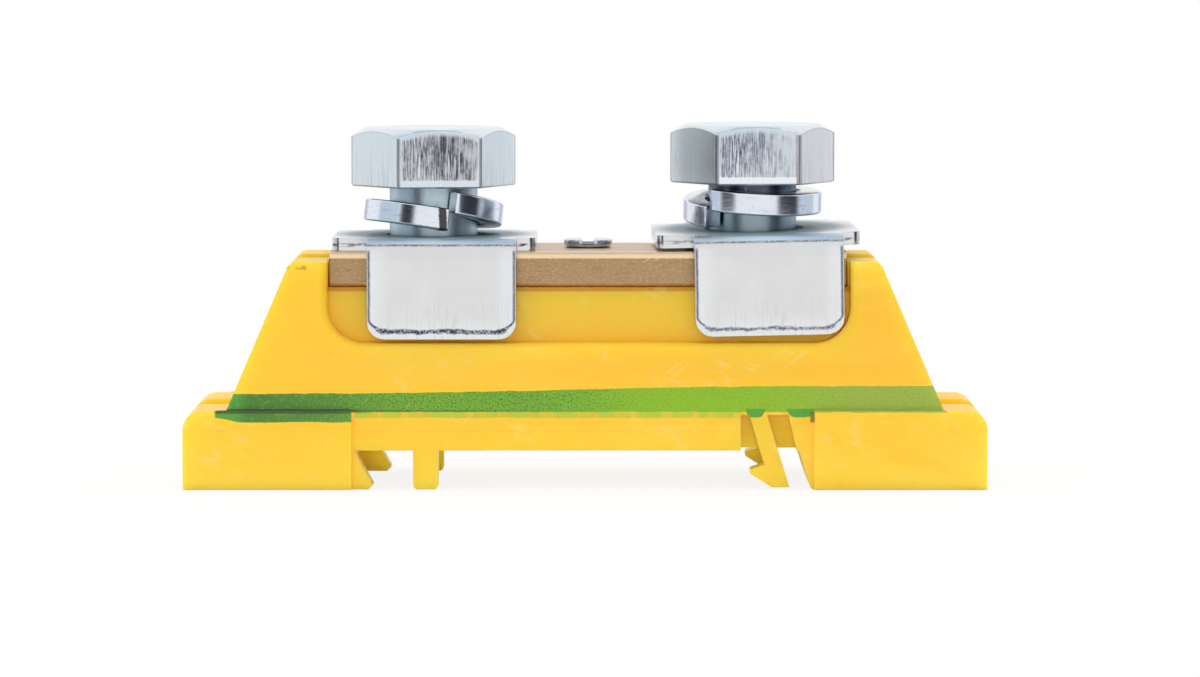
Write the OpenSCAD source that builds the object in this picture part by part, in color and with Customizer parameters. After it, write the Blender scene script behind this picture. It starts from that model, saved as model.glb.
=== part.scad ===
// Rail-mounted earth terminal block with two bolted saddle clamps.
// X runs along the block, -Y is the front, Z is up from the feet.

/* [Rail] */
// Width of the top-hat rail
rail_w = 35; // [30:0.5:36]
// Middle of the rail from the middle of the block
rail_mid = -2.2; // [-3:0.1:-1]
// Play between the rail's edge and the hook
rail_play = 0.3; // [0.1:0.1:0.6]
// Play between the rail's other edge and the latch arms
latch_play = 0.75; // [0.3:0.05:1]
// Thickness of the hook, post and latch plates
snap_t = 2.6; // [1.8:0.1:3]
// Reach of the front hook under the rail
hook_reach = 1; // [0.6:0.1:1.6]
// How much further in the rear hook stands
rear_hook_extra = 1; // [0:0.1:1.4]
// Width of the guide posts
post_w = 2.25; // [1.5:0.05:3]
// Gap between the hook and the guide posts
post_gap = 4.6; // [4:0.1:6]
// Thickness of the latch arms
latch_t = 1.6; // [1.2:0.1:2]
// Sideways lean of the latch arms for each millimetre of height
latch_lean = 0.3; // [0.2:0.01:0.4]
// Reach of the latch's nose under the rail
latch_reach = 1.25; // [0.8:0.05:1.6]
// Height of the top of the latch's nose
nose_z = 2.2; // [2:0.1:2.6]
// Gap between the latch arms and the foot
latch_gap = 1.9; // [0.8:0.1:2.2]
// Gap between the latch arms and the web
web_gap = 0.75; // [0.5:0.05:1]
// Gap behind the latch arms
latch_back_gap = 0.3; // [0.2:0.1:0.6]
// Thickness of the wall above the latch arms
latch_skin = 0.4; // [0.3:0.1:1]
// Clearance under the latch arms' tips
latch_lift = 0.2; // [0.1:0.1:0.5]
// Radius of the small corners under the rail
snap_r = 0.4; // [0.2:0.1:0.5]

/* [Carrier] */
// Overall length of the feet
base_l = 72; // [68:0.5:80]
// Overall depth of the feet
base_d = 20.5; // [20:0.5:26]
// Length of the thick part of the left and the right foot
foot_l = [15.1, 15.5]; // [14:0.1:15.5]
// Height of the feet
foot_h = 7.1; // [6.5:0.1:9]
// Radius of the feet's top corners
foot_r = 1.7; // [0.5:0.1:2.5]
// Height of the space for the rail under the web
web_z = 3.5; // [3.2:0.1:4.2]
// Set-back of the body and the web from the feet
set_back = 0.5; // [0.2:0.1:0.8]
// Length of the body at the top of the feet
body_l = 64.2; // [62:0.5:66]
// Length of the body at its top
body_top_l = 52.8; // [51:0.5:56]
// Radius of the body's top corners
body_r = 0.9; // [0.4:0.1:2]
// Drop of the end walls below the top of the bar
wall_drop = 0.8; // [0.3:0.1:1]
// Width of the grooves in the middle of the ends
groove_w = 6; // [4:0.5:8]
// Depth of the grooves
groove_depth = 2.2; // [1:0.1:2.4]
// Height of the lower edge of the side pockets
pocket_z = 13.1; // [12.2:0.1:13.1]
// Radius of the side pockets' lower corners
pocket_r = 3.2; // [1:0.1:4]
// Room in the pockets beside the left and the right tab, with the clamps centred on their bolts
pocket_room = [3.3, 1.1]; // [0.8:0.05:4]

/* [Earth bar] */
// Length of the bar
bar_l = 46.4; // [46:0.2:48]
// Width of the bar
bar_w = 15; // [14:0.5:16]
// Thickness of the bar
bar_t = 3.2; // [2.5:0.1:4]
// Radius of the bar's long edges
bar_r = 0.6; // [0.2:0.1:0.8]
// Height of the bar's seat above the feet
bar_z = 18; // [17.5:0.1:20]
// Middle of the bar from the middle of the block
bar_mid = 0.25; // [-0.5:0.05:0.5]
// Overhang of the bar past its seat
bar_overhang = 0.3; // [0.1:0.1:1]
// Play between the bar and the carrier
bar_play = 0.1; // [0.05:0.05:0.3]

/* [Bar screw] */
// Diameter of the screw
screw_d = 2.5; // [2:0.1:3]
// Diameter of the screw's head
screw_head_d = 4.4; // [4.4:0.1:5.5]
// Height of the straight rim of the head
screw_rim = 0.5; // [0.35:0.05:0.7]
// Height of the head's top above the bar
screw_proud = 0.75; // [0.7:0.05:1.1]
// Length of the screw from the top of its head
screw_l = 10; // [8:0.5:12]
// Width of the driver slot
slot_w = 1.1; // [0.8:0.1:1.3]
// Depth of the driver slot
slot_depth = 0.35; // [0.25:0.05:0.5]

/* [Clamps] */
// Length of a clamp over its ears
clamp_l = 18.3; // [17:0.1:19]
// Width of the turned-down tabs
tab_w = 13.4; // [12:0.1:14]
// Thickness of the sheet
sheet_t = 1.2; // [1:0.1:1.4]
// Play between the tabs and the bar
tab_play = 0.5; // [0.5:0.05:0.7]
// Length of the ears along the bar's width
ear_d = 13; // [11:0.5:14]
// Radius of the ears' corners
ear_r = 0.8; // [0.3:0.1:2]
// Outer radius of the bends
bend_r = 1.4; // [1.4:0.1:2.4]
// Radius of the tabs' lower corners
tab_r = 1.6; // [0.5:0.1:3]
// Gap between the tabs and the pockets' lower edge
tab_gap = 0.3; // [0.1:0.1:1]
// Diameter of the clamp's hole
clamp_hole_d = 9; // [9:0.1:10]
// Shift of the tabs from the clamp's hole
tab_shift = 0.75; // [0:0.05:1]
// How far the loose clamps lie off their bolts
clamp_shift = 0.2; // [0:0.05:0.3]
// Tilt of the loose left and right clamp about X, about Y and about Z
clamp_tilts = [[0, 0, 0], [1.6, -1, 2]]; // [-2:0.1:2]
// Lift of the loose left and right clamp off the bar
clamp_lifts = [0, 0.2]; // [0:0.05:0.3]

/* [Bolts] */
// Thread diameter
bolt_d = 8; // [7:0.5:8]
// Length under the head
bolt_l = 16; // [15:0.5:17]
// Width across the head's flats
head_af = 13; // [12:0.5:14]
// Height of the head
head_h = 5.3; // [4.5:0.1:6]
// Distance between the bolts
bolt_pitch = 29; // [28:0.1:30]
// Shift of the pair of bolts from the middle
bolt_shift = 0.7; // [-0.5:0.1:1]
// Play of the shank in the bar
shank_play = 0.06; // [0.03:0.01:0.1]
// Room round and under the bolt in its well
well_play = 0.6; // [0.3:0.1:1]
// Length of the chamfer on the bolt's tip
tip_chamfer = 1; // [0.5:0.1:1.5]
// Angle of the chamfer on the head's top
head_chamfer = 30; // [15:1:30]
// Turn of the left and of the right head
head_turns = [6.6, 3.1]; // [-30:0.1:30]
// Lift of the left and of the right bolt, which stand on tilted clamps
bolt_lifts = [0, 0.3]; // [0:0.05:0.5]

/* [Spring washers] */
// Outer diameter
washer_d = 12.6; // [12:0.1:14]
// Play between the coil and the shank
washer_play = 0.3; // [0.3:0.05:0.4]
// Thickness of the coil
washer_t = 2; // [1.6:0.1:2.2]
// Rise of the open coil from end to end
washer_rise = 1.6; // [1.4:0.1:2]
// Opening of the split, in degrees
split_gap = 4; // [2:1:10]
// Gap between the coil's top and the head
head_gap = 0.8; // [0.6:0.1:1]
// Direction of the split, left and right
split_angles = [-73, -131]; // [-180:1:180]
// Tilt of the loose left and right washer about X and Y
washer_tilts = [[-6.2, 6.3], [4.8, 1]]; // [-6.5:0.1:6.5]
// Lift of the tilted left and right washer above the clamp's plate
washer_lifts = [0.1, 1.05]; // [0:0.05:1.2]

/* [Hidden] */

// Colours of the finishes
yellow = [0.98, 0.76, 0.12];
brass = [0.72, 0.58, 0.36];
zinc = [0.78, 0.8, 0.83];

// Overlap of a cut past the face that it opens
cut = 1;
// Facets of round holes and of each rounded corner
round_fn = 64;
corner_steps = 8;
coil_steps = 48;

// Heights
bar_top = bar_z + bar_t;
body_top = bar_top - wall_drop;
clamp_top = bar_top + sheet_t;
head_z = clamp_top + washer_rise + washer_t + head_gap;
tip_z = head_z - bolt_l;
crown_r = 0.475 * head_af;
screw_top = bar_top + screw_proud;

// Places along and across the block
body_d = base_d - 2 * set_back;
body_y = body_d / 2;
bolt_x = [bolt_shift - bolt_pitch / 2, bolt_shift + bolt_pitch / 2];
clamp_x = [bolt_x[0] + clamp_shift, bolt_x[1] + clamp_shift];
hook_x = rail_mid - rail_w / 2 - rail_play;
latch_x = rail_mid + rail_w / 2 + latch_play;
post_x = hook_x + post_gap;
latch_back = snap_t + latch_back_gap;

// Points of a round corner at q, between its neighbours p and s
function unit(v) = v / norm(v);
function corner(p, q, s, r) =
    let (a = unit(p - q), b = unit(s - q),
         half = acos(min(1, max(-1, a * b))) / 2,
         centre = q + unit(a + b) * r / sin(half),
         start = q + a * r / tan(half) - centre,
         turn = (a[0] * b[1] - a[1] * b[0] > 0 ? -1 : 1) * (180 - 2 * half))
    [for (i = [0 : corner_steps]) let (t = turn * i / corner_steps)
        centre + [start[0] * cos(t) - start[1] * sin(t), start[0] * sin(t) + start[1] * cos(t)]];

// Outline of points [x, y, radius], with a round corner wherever the radius isn't 0
function outline(pts) =
    let (n = len(pts), xy = [for (p = pts) [p[0], p[1]]])
    [for (i = [0 : n - 1])
        each (pts[i][2] == 0 ? [xy[i]]
            : corner(xy[(i + n - 1) % n], xy[i], xy[(i + 1) % n], pts[i][2]))];

// Prism of an outline in X and Z, from front to back
module slab(pts, y0, y1)
    translate([0, y1, 0]) rotate([90, 0, 0]) linear_extrude(y1 - y0) polygon(outline(pts));

// The same prism at the front and, mirrored, at the back
module both_sides() {
    children();
    mirror([0, 1, 0]) children();
}

// Half length of the body at a height above the feet
function half_l(z) =
    body_l / 2 + (body_top_l - body_l) / 2 * (z - foot_h) / (body_top - foot_h);

// Left face of a latch arm at a height, leaning out towards its tip
function arm_x(z) = latch_x + latch_lean * (nose_z - z);

// Ends of the bar's seat and of the side pockets, and the inner faces of the feet
seat_x = [bar_mid - bar_l / 2 - bar_play, bar_mid + bar_l / 2 + bar_play];
seat_y = bar_w / 2 - bar_overhang;
pocket_x = [bolt_x[0] + tab_shift - tab_w / 2 - pocket_room[0],
    bolt_x[1] + tab_shift + tab_w / 2 + pocket_room[1]];
hook_foot_x = foot_l[0] - base_l / 2;
latch_foot_x = arm_x(0) + latch_t + latch_gap;
latch_root_z = foot_h - latch_skin;

module left_foot()
    slab([[-base_l / 2, 0, 0], [hook_foot_x, 0, 0], [hook_foot_x, foot_h, 0],
          [-base_l / 2, foot_h, foot_r]], -base_d / 2, base_d / 2);

// The right foot is thinner beside the latch arms, where its end leans as they do
module right_foot() {
    inner_x = base_l / 2 - foot_l[1];
    slab([[inner_x, 0, 0], [base_l / 2, 0, 0], [base_l / 2, foot_h, foot_r], [inner_x, foot_h, 0]],
         -base_d / 2, base_d / 2);
    slab([[latch_foot_x, 0, snap_r], [inner_x + cut, 0, 0], [inner_x + cut, foot_h, 0],
          [latch_foot_x - latch_lean * foot_h, foot_h, 0]], -body_y, body_y);
}

// The body's trapezium and the web that joins the feet below it
module walls() {
    slab([[-half_l(foot_h), foot_h, 0], [half_l(foot_h), foot_h, 0],
          [half_l(body_top), body_top, body_r], [-half_l(body_top), body_top, body_r]],
         -body_y, body_y);
    slab([[hook_foot_x - cut, web_z, 0], [latch_foot_x + cut, web_z, 0],
          [latch_foot_x + cut, foot_h, 0], [hook_foot_x - cut, foot_h, 0]], -body_y, body_y);
}

// Groove down the middle of one end, from the seat of the bar to the foot's end
module end_groove(end_x)
    slab([[-base_l / 2 - cut, foot_h - groove_depth, 0],
          [groove_depth - half_l(foot_h - groove_depth), foot_h - groove_depth, 0],
          [groove_depth - half_l(body_top - groove_depth), body_top - groove_depth, 0],
          [end_x + cut, body_top - groove_depth, 0], [end_x + cut, body_top + cut, 0],
          [-base_l / 2 - cut, body_top + cut, 0]], -groove_w / 2, groove_w / 2);

// Channel for the bar, and the side pockets that the tabs hang in
module bar_space() {
    slab([[seat_x[0], bar_z, 0], [seat_x[1], bar_z, 0], [seat_x[1], body_top + cut, 0],
          [seat_x[0], body_top + cut, 0]], -base_d, base_d);
    both_sides()
        slab([[pocket_x[0], pocket_z, pocket_r], [pocket_x[1], pocket_z, pocket_r],
              [pocket_x[1], body_top + cut, 0], [pocket_x[0], body_top + cut, 0]], -base_d, -seat_y);
}

// Wells under the bolts and the pilot hole under the bar's screw
module wells() {
    for (x = bolt_x)
        translate([x, 0, tip_z - well_play])
            cylinder(h = bar_z - tip_z + well_play + cut, r = bolt_d / 2 + well_play, $fn = round_fn);
    translate([bar_mid, 0, screw_top - screw_l - well_play])
        cylinder(h = screw_l, r = screw_d / 2 + shank_play, $fn = round_fn);
}

// Recess in a side wall, in which the latch arm can bend
module latch_recess()
    slab([[arm_x(latch_root_z) - web_gap, web_z - cut, 0],
          [latch_foot_x - latch_lean * web_z, web_z - cut, 0],
          [latch_foot_x - latch_lean * latch_root_z, latch_root_z, 0],
          [arm_x(latch_root_z) - web_gap, latch_root_z, 0]], -base_d, latch_back - body_y);

// Fixed hook that leans in under the rail's edge from the foot
module hook(x) {
    tip_x = x + hook_reach;
    root_z = nose_z + (x - hook_foot_x) * nose_z / hook_reach;
    slab([[hook_foot_x - cut, 0, 0], [tip_x - snap_r, 0, 0], [tip_x, snap_r, 0],
          [x, nose_z, 0], [hook_foot_x, min(root_z, foot_h), 0],
          [hook_foot_x - cut, min(root_z, foot_h), 0]], -body_y, snap_t - body_y);
}

module guide_post()
    slab([[post_x, 0, snap_r], [post_x + post_w, 0, snap_r], [post_x + post_w, web_z + cut, 0],
          [post_x, web_z + cut, 0]], -body_y, snap_t - body_y);

// Springy arm with a nose that snaps under the rail's edge
module latch_arm()
    slab([[arm_x(0) + latch_t, latch_lift, 0], [arm_x(latch_root_z + cut) + latch_t, latch_root_z + cut, 0],
          [arm_x(latch_root_z + cut), latch_root_z + cut, 0], [arm_x(nose_z), nose_z, 0],
          [latch_x - latch_reach, nose_z - snap_r, 0],
          [latch_x - latch_reach, nose_z - 2 * snap_r, 0], [arm_x(0), latch_lift, 0]],
         -body_y, snap_t - body_y);

module carrier() color(yellow) {
    difference() {
        union() {
            left_foot();
            right_foot();
            walls();
        }
        end_groove(seat_x[0]);
        mirror([1, 0, 0]) end_groove(-seat_x[1]);
        bar_space();
        wells();
        both_sides() latch_recess();
    }
    hook(hook_x);
    mirror([0, 1, 0]) hook(hook_x + rear_hook_extra);
    both_sides() guide_post();
    both_sides() latch_arm();
}

// Prism of an outline in Y and Z, centred on an X
module bar_prism(pts, x, length)
    translate([x - length / 2, 0, 0]) rotate([90, 0, 90]) linear_extrude(length) polygon(outline(pts));

module earth_bar() color(brass) {
    screw_hole_r = screw_d / 2 + bar_play;
    sink = screw_head_d / 2 - screw_d / 2 + screw_rim - screw_proud;
    difference() {
        bar_prism([[-bar_w / 2, bar_z, bar_r], [bar_w / 2, bar_z, bar_r],
                   [bar_w / 2, bar_top, bar_r], [-bar_w / 2, bar_top, bar_r]], bar_mid, bar_l);
        for (x = bolt_x)
            translate([x, 0, bar_z - cut])
                cylinder(h = bar_t + 2 * cut, r = bolt_d / 2 + shank_play, $fn = round_fn);
        translate([bar_mid, 0, bar_z - cut])
            cylinder(h = bar_t + 2 * cut, r = screw_hole_r, $fn = round_fn);
        translate([bar_mid, 0, bar_top - sink])
            cylinder(h = sink + cut, r1 = screw_hole_r, r2 = screw_hole_r + sink + cut, $fn = round_fn);
    }
}

// Slotted countersunk screw that holds the bar down, standing proud of it
module bar_screw() color(zinc) {
    cone_h = (screw_head_d - screw_d) / 2;
    difference() {
        translate([bar_mid, 0, screw_top]) {
            translate([0, 0, -screw_rim])
                cylinder(h = screw_rim, r = screw_head_d / 2, $fn = round_fn);
            translate([0, 0, -screw_rim - cone_h])
                cylinder(h = cone_h, r1 = screw_d / 2, r2 = screw_head_d / 2, $fn = round_fn);
            translate([0, 0, -screw_l])
                cylinder(h = screw_l - screw_rim, r = screw_d / 2, $fn = round_fn);
        }
        translate([bar_mid - slot_w / 2, -screw_head_d, screw_top - slot_depth])
            cube([slot_w, 2 * screw_head_d, slot_depth + cut]);
    }
}

// Tilts a clamp about the end and the edge of its plate that stay down on the bar
module tilted(x, tilt, lift) {
    rest = [tilt[1] > 0 ? clamp_l / 2 : -clamp_l / 2, tilt[0] < 0 ? bar_w / 2 : -bar_w / 2, 0];
    translate([x, 0, bar_top + lift] + rest)
        rotate([tilt[0], tilt[1], 0])
            translate(-rest)
                rotate([0, 0, tilt[2]])
                    translate([-x, 0, -bar_top])
                        children();
}

// Saddle of bent sheet: a plate with two ears along the bar and two tabs turned down beside it
module clamp(x, tilt, lift) color(zinc) tilted(x, tilt, lift) {
    outer = bar_w / 2 + tab_play + sheet_t;
    inner = outer - sheet_t;
    tab_z = pocket_z + tab_gap;
    tab_x = x + tab_shift;
    difference() {
        union() {
            intersection() {
                bar_prism([[-outer, tab_z, 0], [-inner, tab_z, 0], [-inner, bar_top, bend_r - sheet_t],
                           [inner, bar_top, bend_r - sheet_t], [inner, tab_z, 0], [outer, tab_z, 0],
                           [outer, clamp_top, bend_r], [-outer, clamp_top, bend_r]], tab_x, tab_w);
                slab([[tab_x - tab_w / 2, tab_z, tab_r], [tab_x + tab_w / 2, tab_z, tab_r],
                      [tab_x + tab_w / 2, clamp_top + cut, 0], [tab_x - tab_w / 2, clamp_top + cut, 0]],
                     -base_d, base_d);
            }
            translate([0, 0, bar_top]) linear_extrude(sheet_t)
                polygon(outline([[x - clamp_l / 2, -ear_d / 2, ear_r], [x + clamp_l / 2, -ear_d / 2, ear_r],
                                 [x + clamp_l / 2, ear_d / 2, ear_r],
                                 [x - clamp_l / 2, ear_d / 2, ear_r]]));
        }
        translate([x, 0, bar_top - cut])
            cylinder(h = sheet_t + 2 * cut, r = clamp_hole_d / 2, $fn = round_fn);
    }
}

// The four corners of a spring washer's wire after i steps, clockwise and upwards from the split
function coil_ring(i, split) =
    let (a = split - split_gap / 2 - i * (360 - split_gap) / coil_steps, z = i * washer_rise / coil_steps,
         r_in = bolt_d / 2 + washer_play, r_out = washer_d / 2)
    [for (p = [[r_in, z], [r_out, z], [r_out, z + washer_t], [r_in, z + washer_t]])
        [p[0] * cos(a), p[0] * sin(a), p[1]]];

// One open turn of square wire, tilted about the middle of its height
module spring_washer(x, split, tilt, lift) color(zinc) {
    middle = [0, 0, (washer_rise + washer_t) / 2];
    last = 4 * coil_steps;
    points = [for (i = [0 : coil_steps]) each coil_ring(i, split)];
    sides = [for (i = [0 : coil_steps - 1], k = [0 : 3])
        let (a = 4 * i + k, b = 4 * i + (k + 1) % 4)
        each [[a, b, b + 4], [a, b + 4, a + 4]]];
    ends = [[0, 2, 1], [0, 3, 2], [last, last + 1, last + 2], [last, last + 2, last + 3]];
    translate([x, 0, clamp_top + lift] + middle)
        rotate([tilt[0], tilt[1], 0])
            translate(-middle)
                polyhedron(points = points, faces = concat(sides, ends));
}

// Hexagon bolt with a plain shank: chamfered head and tip
module bolt(x, turn, lift) color(zinc)
    translate([x, 0, head_z + lift]) {
        rotate([0, 0, turn]) intersection() {
            cylinder(h = head_h, r = head_af / sqrt(3), $fn = 6);
            cylinder(h = head_h, r1 = crown_r + head_h / tan(head_chamfer), r2 = crown_r, $fn = round_fn);
        }
        translate([0, 0, tip_chamfer - bolt_l])
            cylinder(h = bolt_l - tip_chamfer, r = bolt_d / 2, $fn = round_fn);
        translate([0, 0, -bolt_l])
            cylinder(h = tip_chamfer, r1 = bolt_d / 2 - tip_chamfer, r2 = bolt_d / 2, $fn = round_fn);
    }

carrier();
earth_bar();
bar_screw();
clamp(clamp_x[0], clamp_tilts[0], clamp_lifts[0]);  // left_clamp
clamp(clamp_x[1], clamp_tilts[1], clamp_lifts[1]);  // right_clamp
spring_washer(bolt_x[0], split_angles[0], washer_tilts[0], washer_lifts[0]);  // left_spring_washer
spring_washer(bolt_x[1], split_angles[1], washer_tilts[1], washer_lifts[1]);  // right_spring_washer
bolt(bolt_x[0], head_turns[0], bolt_lifts[0]);  // left_bolt
bolt(bolt_x[1], head_turns[1], bolt_lifts[1]);  // right_bolt
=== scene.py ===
"""Earth terminal block for a rail: yellow carrier with a green stripe, brass bar, two bolted saddle clamps."""
import math

import bmesh
import bpy
from mathutils import Matrix, Vector


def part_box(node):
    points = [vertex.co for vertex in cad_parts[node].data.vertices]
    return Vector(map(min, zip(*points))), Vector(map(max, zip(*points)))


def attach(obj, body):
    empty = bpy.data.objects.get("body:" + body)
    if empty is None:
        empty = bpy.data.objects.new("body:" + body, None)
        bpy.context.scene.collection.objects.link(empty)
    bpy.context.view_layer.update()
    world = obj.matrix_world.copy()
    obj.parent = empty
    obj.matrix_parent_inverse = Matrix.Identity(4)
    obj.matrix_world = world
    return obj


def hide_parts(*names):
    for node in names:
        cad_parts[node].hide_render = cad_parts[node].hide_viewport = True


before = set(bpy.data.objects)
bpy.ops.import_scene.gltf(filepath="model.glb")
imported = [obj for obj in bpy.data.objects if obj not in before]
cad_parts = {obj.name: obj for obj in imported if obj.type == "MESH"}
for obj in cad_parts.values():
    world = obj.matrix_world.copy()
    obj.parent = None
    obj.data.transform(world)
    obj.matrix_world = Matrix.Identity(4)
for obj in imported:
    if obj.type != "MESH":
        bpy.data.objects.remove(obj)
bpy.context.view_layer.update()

MM = 0.001
RIGHT_ANGLE = math.pi / 2
FLAT_ANGLE = math.radians(0.4)
SHARP_ANGLE = math.radians(20)
RIM_ANGLE = math.radians(40)
WELD = 0.5e-6
THREAD_WELD = 2e-6
CUT_SNAP = 1e-8

# Sizes, in metres; the gap is in degrees
THREAD_PITCH = 1.25 * MM
THREAD_R = 4.0 * MM
THREAD_ROOT_R = 3.25 * MM
THREAD_LENGTH = 8.6 * MM
THREAD_STEPS = 64
TIP_CHAMFER = 1.0 * MM
NECK_IN_HEAD = 0.3 * MM
HEAD_HEIGHT = 5.3 * MM
HEAD_STUB = 0.01 * MM
HEAD_EDGE_R = 5.0 * MM
HEAD_CHAMFER = 0.16 * MM
CROWN_R = 6.175 * MM
CROWN_SLOPE = 1.732
HEX_FLAT = (6.2 * MM, 6.4 * MM)
HEX_COS = 0.866
HEX_SIN = 0.5
COIL_T = 2.0 * MM
COIL_RISE = 1.6 * MM
COIL_IN_R = 4.3 * MM
COIL_OUT_R = 6.3 * MM
COIL_GAP = 4.0
COIL_STEPS = 120
SHEET_T = 1.2 * MM
PLATE_TOP = 22.4 * MM
TAB_MIDDLE = 0.75 * MM
TAB_HALF = 6.7 * MM
TAB_LENGTH = 7.8 * MM
TAB_CORNER = 1.6 * MM
SADDLE_REST = (-9.15 * MM, -7.5 * MM, 0)
SCREW_X = 0.25 * MM
SLOT_HALF = 0.53 * MM
BAR_EDGE = (6.9 * MM, 20.6 * MM)
STRIPE_FOOT = 7.0 * MM
STRIPE_TOP = (8.62 * MM, 9.30 * MM)
STRIPE_ENDS = (-32.9 * MM, 32.3 * MM)
DROPS = ((15.25 * MM, 0.8 * MM), (19.3 * MM, 1.15 * MM))

# Radii of the rounded edges, in metres
POCKET_ROUND = 1.0 * MM
CARRIER_ROUND = 0.22 * MM
BAR_ROUND = 0.14 * MM
SCREW_ROUND = 0.12 * MM
SADDLE_ROUND = 0.32 * MM
WIRE_ROUND = 0.22 * MM
COIL_ROUND = 0.07 * MM
HEAD_ROUND = 0.24 * MM

# How each bolt, its washer and its saddle lie, how they are worn, and the tones of their painted reflections,
# highlights and shade
BOLTS = {
    "left": {
        "x": -13.8 * MM, "head_z": 26.8 * MM, "turn": 6.6,
        "split": -73.0, "coil_tilt": (-6.2, 6.3), "coil_lift": 0.1 * MM, "cut": 0.95,
        "field_share": (1.0, 0.95), "bite": (0.38, 0.56), "lean": 0.0,
        "rubbed": (0.56, 0.58, 0.62), "dark_patch": (0.05, 0.056, 0.075), "strip": (0.70, 0.755, 0.81),
        "left_flat_reflection": (0.64, 0.715, 0.765), "right_flat_reflection": (0.58, 0.66, 0.725), "corner": 0.0,
        "stem": (0.46, 0.58, 0.64), "shade": 0.15,
    },
    "right": {
        "x": 15.2 * MM, "head_z": 27.1 * MM, "turn": 3.1,
        "split": -131.0, "coil_tilt": (4.8, 1.0), "coil_lift": 1.05 * MM, "cut": 0.25,
        "field_share": (1.0, 0.55), "bite": (0.425, 0.60), "lean": 0.055,
        "rubbed": (0.60, 0.63, 0.70), "dark_patch": (0.075, 0.10, 0.155), "strip": (0.88, 0.91, 0.94),
        "left_flat_reflection": (0.45, 0.49, 0.49), "right_flat_reflection": (0.63, 0.62, 0.67), "corner": 0.08 * MM,
        "stem": (0.26, 0.34, 0.39), "shade": 0.9,
    },
}
CLAMPS = {
    "left": {
        "x": -13.6 * MM, "turn": (0, 0, 0), "lift": 0.0,
        "edge_line": (0.74 * MM, 0.18 * MM), "edge_line_tone": (0.035, 0.04, 0.075), "smudge": 1.0,
    },
    "right": {
        "x": 15.4 * MM, "turn": (1.6, -1.0, 2.0), "lift": 0.2 * MM,
        "edge_line": (0.68 * MM, 0.12 * MM), "edge_line_tone": (0.14, 0.16, 0.22), "smudge": 0.75,
    },
}
EDGE_LINE_SHARE = 0.45

# The white room: lamps that the metal does not see, and cards that only the metal sees
ROOM_LIGHT = 0.38
SEEING_RAYS = ("Is Camera Ray", "Is Glossy Ray", "Is Transmission Ray")
LAMPS = (
    ("top_light", (0, -0.1, 0.9), (0, 0, 0), (0.9, 0.9), 4.8),
    ("front_light", (-0.5, -0.7, 0.5), (0, 0, 0.01), (0.6, 0.6), 0.8),
    ("low_light", (0.0, -0.9, 0.055), (0, 0, 0.005), (0.14, 0.10), 2.55),
    ("left_end_light", (-0.8, 0.0, 0.2), (0, 0, 0.01), (0.4, 0.3), 1.4),
    ("right_end_light", (0.8, 0.0, 0.2), (0, 0, 0.01), (0.4, 0.3), 1.4),
    ("back_light", (0, 0.8, 0.06), (0, 0, 0.004), (0.9, 0.2), 4.5),
)
CARD_DARK = (0.03, 0.033, 0.045)
CARD_GREY = (0.30, 0.33, 0.39)
CARD_PALE = (0.62, 0.70, 0.80)
CARD_LILAC = (0.62, 0.60, 0.76)
CARDS = (
    ("left_card", -43, -3, 1.2, (0.40, 1.6), CARD_DARK),
    ("left_flank", -43, -3, 1.25, (0.60, 1.6), CARD_GREY),
    ("left_side", -80, -3, 1.3, (1.0, 1.5), CARD_PALE),
    ("right_card", 62, -3, 1.2, (0.70, 1.6), CARD_DARK),
    ("right_flank", 62, -3, 1.25, (0.95, 1.6), CARD_GREY),
    ("right_side", 102, -3, 1.3, (0.9, 1.5), CARD_PALE),
    ("left_tint", -152, -3, 1.2, (0.42, 0.6), CARD_LILAC),
    ("right_tint", 152, -3, 1.2, (0.42, 0.6), CARD_LILAC),
    ("sky_card", 0, 104, 1.2, (2.4, 0.75), (0.56, 0.68, 0.78)),
    ("sky_edge", 0, 78, 1.2, (2.4, 0.14), (0.16, 0.20, 0.26)),
)
CARD_TARGET = (0, 0, 0.02)
CAMERA_LENS = 160.4
CAMERA_PLACE = (0.00134, -0.48625, 0.049)
CAMERA_AIM = (0.00134, -0.01025, 0.0136)


# Shaping

def merged_copy(node):
    """The outside of a CAD node as one closed mesh, with its flat faces in one piece."""
    bm = bmesh.new()
    bm.from_mesh(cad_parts[node].data)
    bmesh.ops.remove_doubles(bm, verts=bm.verts, dist=WELD)
    bmesh.ops.dissolve_limit(bm, angle_limit=FLAT_ANGLE, verts=bm.verts, edges=bm.edges)
    return bm


def finished_piece(name, bm, material, node, body):
    """Turns a bmesh into a smooth object that rides on its body and stands for its CAD node."""
    mesh = bpy.data.meshes.new(name)
    bm.to_mesh(mesh)
    bm.free()
    for layer in ("custom_normal", "sharp_face"):
        if layer in mesh.attributes:
            mesh.attributes.remove(mesh.attributes[layer])
    mesh.shade_smooth()
    piece = bpy.data.objects.new(name, mesh)
    bpy.context.scene.collection.objects.link(piece)
    mesh.materials.append(material)
    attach(piece, body)
    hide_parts(node)
    return piece


def weight_edges(bm, rule):
    """Gives each sharp edge the share of the rounding that the rule returns for it."""
    layer = bm.edges.layers.float.new("bevel_weight_edge")
    for edge in bm.edges:
        if edge.is_manifold and edge.calc_face_angle() > SHARP_ANGLE:
            edge[layer] = rule(edge)


def round_edges(piece, width, segments):
    """Rounds the weighted edges, and keeps the flat faces flat in their shading."""
    bevel = piece.modifiers.new("rounded edges", "BEVEL")
    bevel.limit_method = "WEIGHT"
    bevel.width = width
    bevel.segments = segments
    bevel.profile = 0.5
    bevel.use_clamp_overlap = True
    bevel.miter_outer = "MITER_ARC"
    bevel.material = -1
    normals = piece.modifiers.new("flat faces", "WEIGHTED_NORMAL")
    normals.weight = 60
    normals.keep_sharp = True


# Pieces

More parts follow.
